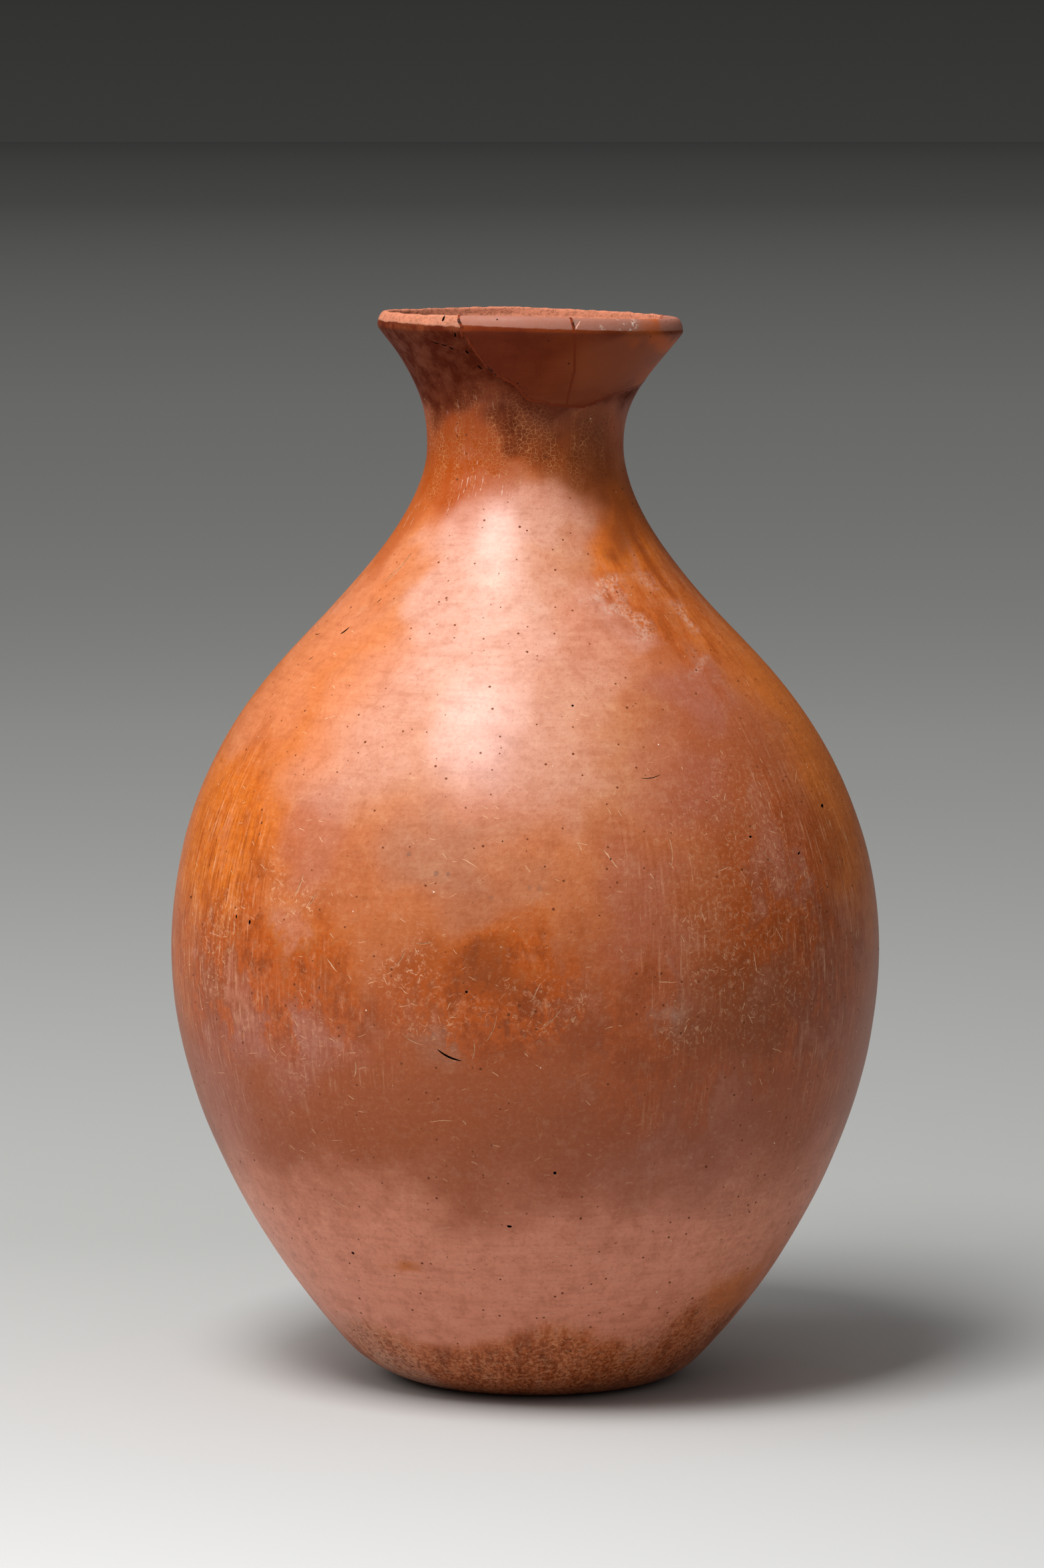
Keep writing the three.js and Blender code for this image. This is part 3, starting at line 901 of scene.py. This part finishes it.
# Old glue in the joints: dark where it was left to show, toned in with the wall elsewhere
def driedAdhesive():
    material, tree, place = newMaterial("dried_dark_adhesive")
    bare = addNode(tree, "Attribute", {}, attribute_name="bare").outputs["Fac"]
    left = addNode(tree, "MapRange", {"Value": bare, "From Min": 0.2, "From Max": 0.5})
    crumbs = addNode(tree, "TexNoise", {"Vector": place, "Scale": cells(0.9), "Detail": 3.0})
    broken = addNode(tree, "MapRange", {"Value": crumbs, "From Min": 0.46, "From Max": 0.56})
    dark = addNode(tree, "Math", {0: left, 1: broken}, operation="MULTIPLY")
    tone = addNode(
        tree, "Mix", {"Factor": dark, "A": paint(glue["toned"]), "B": paint(glue["dark"])}, data_type="RGBA"
    )
    bump = addNode(tree, "Bump", {"Height": crumbs, "Distance": 0.2 * mm, "Strength": 1.0})
    rough = addNode(tree, "MapRange", {"Value": crumbs, "To Min": glue["smooth"], "To Max": glue["rough"]})
    joinShader(
        tree, {"Base Color": tone, "Roughness": rough, "Specular IOR Level": glue["gloss"], "Normal": bump}
    )
    return material


# Unslipped clay, grained in two tones: scraped inside the flask, open in a break, sooty in the straw gaps
def openClay(name, light, dark, grainSize, roughness):
    material, tree, place = newMaterial(name)
    rings = unrolled(tree, place, 0.12, 1)
    scraping = addNode(tree, "TexNoise", {"Vector": rings, "Scale": cells(grainSize), "Detail": 4.0})
    grain = addNode(
        tree, "TexNoise", {"Vector": place, "Scale": cells(grainSize / 2), "Detail": 5.0, "Roughness": 0.75}
    )
    both = addNode(tree, "Math", {0: scraping, 1: grain}, operation="ADD")
    share = addNode(tree, "MapRange", {"Value": both, "From Min": 0.75, "From Max": 1.25})
    tone = addNode(tree, "Mix", {"Factor": share, "A": paint(light), "B": paint(dark)}, data_type="RGBA")
    bump = addNode(tree, "Bump", {"Height": both, "Distance": 0.35 * mm, "Strength": 1.0})
    joinShader(
        tree,
        {"Base Color": tone, "Roughness": roughness, "Specular IOR Level": slip["gloss"], "Normal": bump},
    )
    return material


print("materials")
ochreSlip = burnishedOchreSlip()
rimClay = smoothedRimClay()
adhesive = driedAdhesive()
scrapedClay = openClay("scraped_inner_clay", "#b06a48", "#7c4029", 3, 0.85)
brokenClay = openClay("broken_clay", "#9c5a3e", "#6a3421", 1.2, 0.9)
sootyClay = openClay("sooty_clay", "#24120b", "#0f0705", 1, 0.9)
scratchedClay = openClay("scratched_clay", "#d6a27e", "#b0714a", 1, 0.85)
freshClay = openClay("freshly_chipped_clay", "#dcae9c", "#c89583", 1, 0.8)


# which faces lie inside the flask: they look towards its axis, or up from its floor
def facesInside(bm):
    found = []
    for face in bm.faces:
        middle = face.calc_center_median()
        outward = Vector((middle.x, middle.y, 0)).normalized()
        onFloor = face.normal.z > pot["upward"] and middle.z < pot["floorBelow"] * mm
        onWall = face.normal.dot(outward) < -pot["inward"]
        belowMouth = middle.z < pot["slipInside"] * mm
        if face.material_index == 0 and belowMouth and (onFloor or onWall):
            found.append(face)
    return found


# gives a cut piece its hand-built shape and its shading
def finishPiece(piece, roughen=None):
    bm = bmesh.new()
    bm.from_mesh(piece.data)
    bm.normal_update()
    bmesh.ops.remove_doubles(bm, verts=bm.verts, dist=pot["weldCut"] * mm)
    normals = [vert.normal.copy() for vert in bm.verts]
    for vert, normal in zip(bm.verts, normals):
        outward = Vector((vert.co.x, vert.co.y, 0)).normalized()
        moved = vert.co + outward * unevenness(vert.co)
        if roughen:
            moved += normal * roughen(vert.co)
        vert.co = handBuilt(moved)
    for face in bm.faces:
        face.smooth = True
    for edge in bm.edges:
        if edge.calc_face_angle(0) > math.radians(pot["crease"]):
            edge.smooth = False
    bm.to_mesh(piece.data)
    bm.free()


# bare clay crumbles along the worn lip
def wornLip(point):
    crumble = twoNoises(point / (pot["lipGrain"] * mm), *pot["finerGrain"])
    return crumble * pot["lipRoughness"] * mm * smoothStep(point.z / mm, *pot["wornFrom"])


# drops of adhesive stand out of the left of the mend
def driedDrops(point):
    degrees = math.degrees(math.atan2(point.x, -point.y))
    low, high = mend["beadsEnd"]
    drops = max(noise.noise(point / (mend["beadSize"] * mm)), mend["beadDip"])
    return drops * mend["beadHeight"] * mm * (1 - smoothStep(degrees, low, high))


# the upper end of the wall as a closed ring, for the pieces of the rim
def rimSection(proud=0):
    foot = mend["ringFoot"] * mm
    ring = [point for point in section if point.z > foot]
    loop = ring[-1:] + ring + ring[:1]
    stoodProud = []
    for before, point, after in zip(loop, ring, loop[2:]):
        along = (after - before).normalized()
        stoodProud.append(point + Vector((along.z, 0, -along.x)) * proud * mm)
    return stoodProud


# a place on the wall: X to the right round the flask, Y up the wall and Z straight out of it
def wallFrame(degrees, height):
    angle = math.radians(degrees)
    right = Vector((math.cos(angle), math.sin(angle), 0))
    climb = (onFlask(degrees, height + 0.5) - onFlask(degrees, height - 0.5)).normalized()
    matrix = Matrix((right, climb, right.cross(climb))).transposed().to_4x4()
    matrix.translation = onFlask(degrees, height)
    return matrix


# gaps left by straw that burnt out, and small cracks: degrees round, height, length, width, slope in degrees
straw = {
    "seen": [
        (-12.1, 90.2, 6.4, 0.5, -25), (-57.9, 184.7, 2.8, 0.7, 56), (-73, 183, 3.6, 0.25, 8),
        (-64, 178, 1.6, 0.3, 50), (-52, 192, 1.6, 0.3, 60), (23.8, 153.6, 5.4, 0.22, 8),
        (64.4, 143.5, 1.5, 0.9, 10), (41.2, 139, 0.9, 0.6, 0), (-49.4, 118.2, 0.8, 1.1, 0),
        (-9.1, 105.6, 0.7, 0.6, 0), (4.7, 62, 0.8, 0.8, 0), (-3.6, 48.4, 1.2, 0.7, -10),
        (-39, 38.6, 0.9, 0.8, 0), (-70, 121, 0.8, 0.8, 0), (-53, 119, 0.6, 1, 0), (10.7, 170, 0.6, 0.6, 0),
        (52, 134, 1.2, 0.5, 30), (-40.6, 253.1, 2.4, 0.35, -12), (-36.6, 252.6, 1.8, 0.4, -10),
        (-33.6, 251.8, 1.4, 0.5, -30), (-34.9, 259.4, 1.6, 0.6, 90), (-29.4, 255.4, 1.5, 0.5, 80),
        (-26.8, 251, 1.2, 0.6, -65), (-22.6, 247.4, 1.6, 0.4, -50),
    ],
    "depth": 1.5,
    "elsewhere": 34,       # more of them round the sides and back, between these measures
    "round": (82, 278),
    "heights": (24, 200),
    "lengths": (0.7, 0.9, 1.2, 2.6),
    "widths": (0.4, 0.8),
    "slopes": (-60, 60),
    "apart": 8,
    "seed": 11,
}


def strawGaps():
    marks = list(straw["seen"])
    places = [onFlask(*mark[:2]) for mark in marks]
    chance = random.Random(straw["seed"])
    for _ in range(straw["elsewhere"]):
        mark = (
            chance.uniform(*straw["round"]), chance.uniform(*straw["heights"]),
            chance.choice(straw["lengths"]), chance.uniform(*straw["widths"]),
            chance.uniform(*straw["slopes"]),
        )
        place = onFlask(*mark[:2])
        if min((place - other).length for other in places) > straw["apart"] * mm:
            marks.append(mark)
            places.append(place)
    return marks


# a cutting solid of one long bowed drop for each mark, half sunk in the wall
def markCutter(name, marks, depth, material):
    bm = bmesh.new()
    bow = 0.08  # how far a drop's ends bend aside, for its length
    for degrees, height, length, width, slope in marks:
        size = Matrix.Diagonal((length / 2 * mm, width / 2 * mm, depth * mm, 1))
        turn = Matrix.Rotation(math.radians(slope), 4, "Z")
        place = wallFrame(degrees, height) @ turn
        drop = bmesh.ops.create_icosphere(bm, subdivisions=3, radius=1)["verts"]
        for vert in drop:
            sized = size @ vert.co
            vert.co = place @ Vector((sized.x, sized.y + bow * length * mm * vert.co.x ** 2, sized.z))
    return meshObject(name, bm, material)


# long scratches and a hairline where something hard dragged across: the straw gaps' measures, but shallow
gouges = {
    "seen": [
        (-52.5, 199.6, 11, 0.5, 74), (-55.4, 198, 7, 0.35, 70), (-17.9, 93.7, 6.4, 0.3, -25),
        (-5, 97, 8, 0.25, 68), (4, 99, 9, 0.25, 44), (-8, 92, 5, 0.3, 84), (-19.5, 113, 5, 0.3, 62),
        (-16, 116.5, 4, 0.3, 4), (-39, 128, 6, 0.45, 70), (-36, 125, 4, 0.35, 60), (-28, 86, 4, 0.5, 80),
        (13.5, 172, 3.4, 0.3, -60), (25, 137, 8, 0.3, 86), (44, 134, 7, 0.3, -50), (150, 120, 12, 0.4, 60),
        (-130, 150, 9, 0.4, 110),
    ],
    "depth": 0.12,
}


# the inside of the flask is bare clay, scraped
def scrapeInside(piece):
    piece.data.materials.append(scrapedClay)
    bm = bmesh.new()
    bm.from_mesh(piece.data)
    bm.normal_update()
    for face in facesInside(bm):
        face.material_index = len(piece.data.materials) - 1
    bm.to_mesh(piece.data)
    bm.free()


def wholeBody():
    flaskBody = spunSolid("flaskBody", section, False, ochreSlip)
    carve(flaskBody, aboveBreak(mend["bodyEdge"], brokenClay), "DIFFERENCE")
    carve(flaskBody, markCutter("strawCutter", strawGaps(), straw["depth"], sootyClay), "DIFFERENCE")
    carve(flaskBody, markCutter("gougeCutter", gouges["seen"], gouges["depth"], scratchedClay), "DIFFERENCE")
    scrapeInside(flaskBody)
    paintSpots(flaskBody, wallSpots)
    finishPiece(flaskBody, wornLip)
    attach(flaskBody, "root")
    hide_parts("flask_body")


print("body of the flask")
wholeBody()

# a flake is gone from the lip beside the joint between the two pieces
chip = {"degrees": 15.8, "height": 256.4, "wide": 2.4, "tall": 3.4, "deep": 1.2, "block": 9}


def chipCutter():
    slope = math.atan2(chip["tall"], chip["wide"])
    half = chip["block"] / 2
    bm = bmesh.new()
    turn = Matrix.Rotation(slope, 4, "Z")
    shift = Matrix.Translation(Vector((half / 2, half, half - chip["deep"])) * mm)
    place = wallFrame(chip["degrees"], chip["height"]) @ turn @ shift
    bmesh.ops.create_cube(bm, size=chip["block"] * mm, matrix=place)
    return meshObject("chipCutter", bm, freshClay)


def rimPiece(name, cadName, splitOperation, shift):
    piece = spunSolid(name, rimSection(), True, rimClay)
    carve(piece, aboveBreak(0, brokenClay), "INTERSECT")
    carve(piece, rightOfSplit(shift, brokenClay), splitOperation)
    if splitOperation == "INTERSECT":
        carve(piece, chipCutter(), "DIFFERENCE")
    paintSpots(piece, rimSpots)
    finishPiece(piece)
    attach(piece, "root")
    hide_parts(cadName)


print("mended rim")
rimPiece("rimPieceLeft", "rim_piece_left", "DIFFERENCE", -mend["splitHalf"])
rimPiece("rimPieceRight", "rim_piece_right", "INTERSECT", mend["splitHalf"])


# a band of adhesive: the ring of wall that is left by the cuts
def mendLine(name, cadName, cuts):
    piece = spunSolid(name, rimSection(mend["lineProud"]), True, adhesive)
    for cutter, operation in cuts:
        carve(piece, cutter, operation)
    paintSpots(piece, glueSpots)
    finishPiece(piece, driedDrops)
    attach(piece, "root")
    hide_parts(cadName)


print("mend lines")
overlap = mend["lineOverlap"]
split = mend["splitHalf"] + overlap
mendLine("mendLineRoundBreak", "mend_line_round_break", [
    (aboveBreak(-overlap, adhesive), "DIFFERENCE"),
    (aboveBreak(mend["bodyEdge"] + overlap, adhesive), "INTERSECT"),
])
mendLine("mendLineBetweenPieces", "mend_line_between_pieces", [
    (rightOfSplit(split, adhesive), "DIFFERENCE"),
    (rightOfSplit(-split, adhesive), "INTERSECT"),
    (aboveBreak(0, adhesive), "INTERSECT"),
])

# the floor's tones, each at its distance in metres from a middle in front of the flask, and the room's light.
# The
# tones are painted light and shade: they darken far off, where the light falls away, and even out the near
# lamp's pool
studio = {
    "floorMiddle": (-0.15, -0.6, 0),
    "floorTones": [
        (0.2, "#838382"), (0.38, "#c0c0bf"), (0.8, "#a8a8a6"), (1.3, "#b2b3b0"), (2.3, "#bfc0bd"),
        (6, "#acacaa"), (21, "#747472"), (60, "#5c5c5b"),
    ],
    "floorRadius": 60,
    "floorSides": 96,
    "horizon": "#3b3b3a",
    "overhead": "#2d2d2c",
    "skyline": (-0.01, 0.03),
    "skyLevel": 0.09,
    "skyTop": 0.5,
    "skyBend": 1.5,
}
# soft lamps: degrees round from the front and up, distance, size, power and whether they show in gloss
lamps = {
    "softKey": {
        "azimuth": -32, "elevation": 61, "distance": 1.3, "wide": 0.45, "tall": 0.55, "watts": 20,
        "shines": True,
    },
    "softFill": {
        "azimuth": -80, "elevation": 42, "distance": 1.3, "wide": 0.9, "tall": 0.9, "watts": 6.5,
        "shines": False,
    },
}


def paleFloor():
    bm = bmesh.new()
    bmesh.ops.create_circle(bm, cap_ends=True, segments=studio["floorSides"], radius=studio["floorRadius"])
    material, tree, place = newMaterial("pale_studio_floor")
    offset = addNode(tree, "VectorMath", {0: place, 1: studio["floorMiddle"]}, operation="SUBTRACT")
    distance = addNode(tree, "VectorMath", {0: offset}, operation="LENGTH")
    power = addNode(tree, "Math", {0: distance, 1: 10.0}, operation="LOGARITHM")
    nearest = math.log10(studio["floorTones"][0][0])
    farthest = math.log10(studio["floorTones"][-1][0])
    share = addNode(tree, "MapRange", {"Value": power, "From Min": nearest, "From Max": farthest})
    ramp = addNode(tree, "ValToRGB", {"Fac": share})
    stops = ramp.color_ramp.elements
    while len(stops) < len(studio["floorTones"]):
        stops.new(0.5)
    for stop, (reach, colour) in zip(stops, studio["floorTones"]):
        stop.position = (math.log10(reach) - nearest) / (farthest - nearest)
        stop.color = paint(colour)
    joinShader(tree, {"Base Color": ramp, "Roughness": 0.9, "Specular IOR Level": 0.0})
    meshObject("paleFloor", bm, material)


# the room: soft light from above, and dark grey behind the flask and in its reflections
def softRoom():
    world = bpy.data.worlds.new("softRoom")
    world.use_nodes = True
    bpy.context.scene.world = world
    tree = world.node_tree
    tree.nodes.clear()
    towards = addNode(tree, "TexCoord", {}).outputs["Generated"]
    rise = addNode(tree, "SeparateXYZ", {0: towards}).outputs["Z"]
    above = addNode(tree, "Math", {0: rise, 1: 0.0}, operation="MAXIMUM")
    bent = addNode(tree, "Math", {0: above, 1: studio["skyBend"]}, operation="POWER")
    level = addNode(
        tree, "MapRange", {"Value": bent, "To Min": studio["skyLevel"], "To Max": studio["skyTop"]}
    )
    low, high = studio["skyline"]
    climb = addNode(tree, "MapRange", {"Value": rise, "From Min": low, "From Max": high})
    backdrop = addNode(
        tree, "Mix", {"Factor": climb, "A": paint(studio["horizon"]), "B": paint(studio["overhead"])},
        data_type="RGBA",
    )
    path = addNode(tree, "LightPath", {})
    seen = addNode(
        tree, "Math", {0: path.outputs["Is Camera Ray"], 1: path.outputs["Is Glossy Ray"]},
        operation="MAXIMUM",
    )
    tone = addNode(tree, "Mix", {"Factor": seen, "A": level, "B": backdrop}, data_type="RGBA")
    background = addNode(tree, "Background", {"Color": tone})
    addNode(tree, "OutputWorld", {"Surface": background})


def softLamp(name, lamp):
    azimuth = math.radians(lamp["azimuth"])
    elevation = math.radians(lamp["elevation"])
    level = math.cos(elevation)
    towards = Vector((math.sin(azimuth) * level, -math.cos(azimuth) * level, math.sin(elevation)))
    data = bpy.data.lights.new(name, "AREA")
    data.shape = "RECTANGLE"
    data.size = lamp["wide"]
    data.size_y = lamp["tall"]
    data.energy = lamp["watts"]
    light = bpy.data.objects.new(name, data)
    light.visible_glossy = lamp["shines"]
    light.location = Vector((0, 0, outline["belly"][1] * mm)) + towards * lamp["distance"]
    light.rotation_euler = towards.to_track_quat("Z", "Y").to_euler()
    bpy.context.scene.collection.objects.link(light)


# the photograph's view: a long lens a little above the flask, looking slightly down
viewpoint = {
    "distance": 1.6,
    "height": 0.3089,
    "aside": -0.0008,
    "tiltDown": 5.84,
    "lens": 151.65,
    "sensor": 36,
}


def photoCamera():
    data = bpy.data.cameras.new("photoCamera")
    data.sensor_width = viewpoint["sensor"]
    data.lens = viewpoint["lens"]
    data.clip_end = 3 * studio["floorRadius"]
    camera = bpy.data.objects.new("photoCamera", data)
    camera.location = (viewpoint["aside"], -viewpoint["distance"], viewpoint["height"])
    camera.rotation_euler = (math.radians(90 - viewpoint["tiltDown"]), 0, 0)
    bpy.context.scene.collection.objects.link(camera)
    bpy.context.scene.camera = camera


print("floor, light and camera")
paleFloor()
softRoom()
for name, lamp in lamps.items():
    softLamp(name, lamp)
photoCamera()
bpy.context.scene.view_settings.view_transform = "Standard"
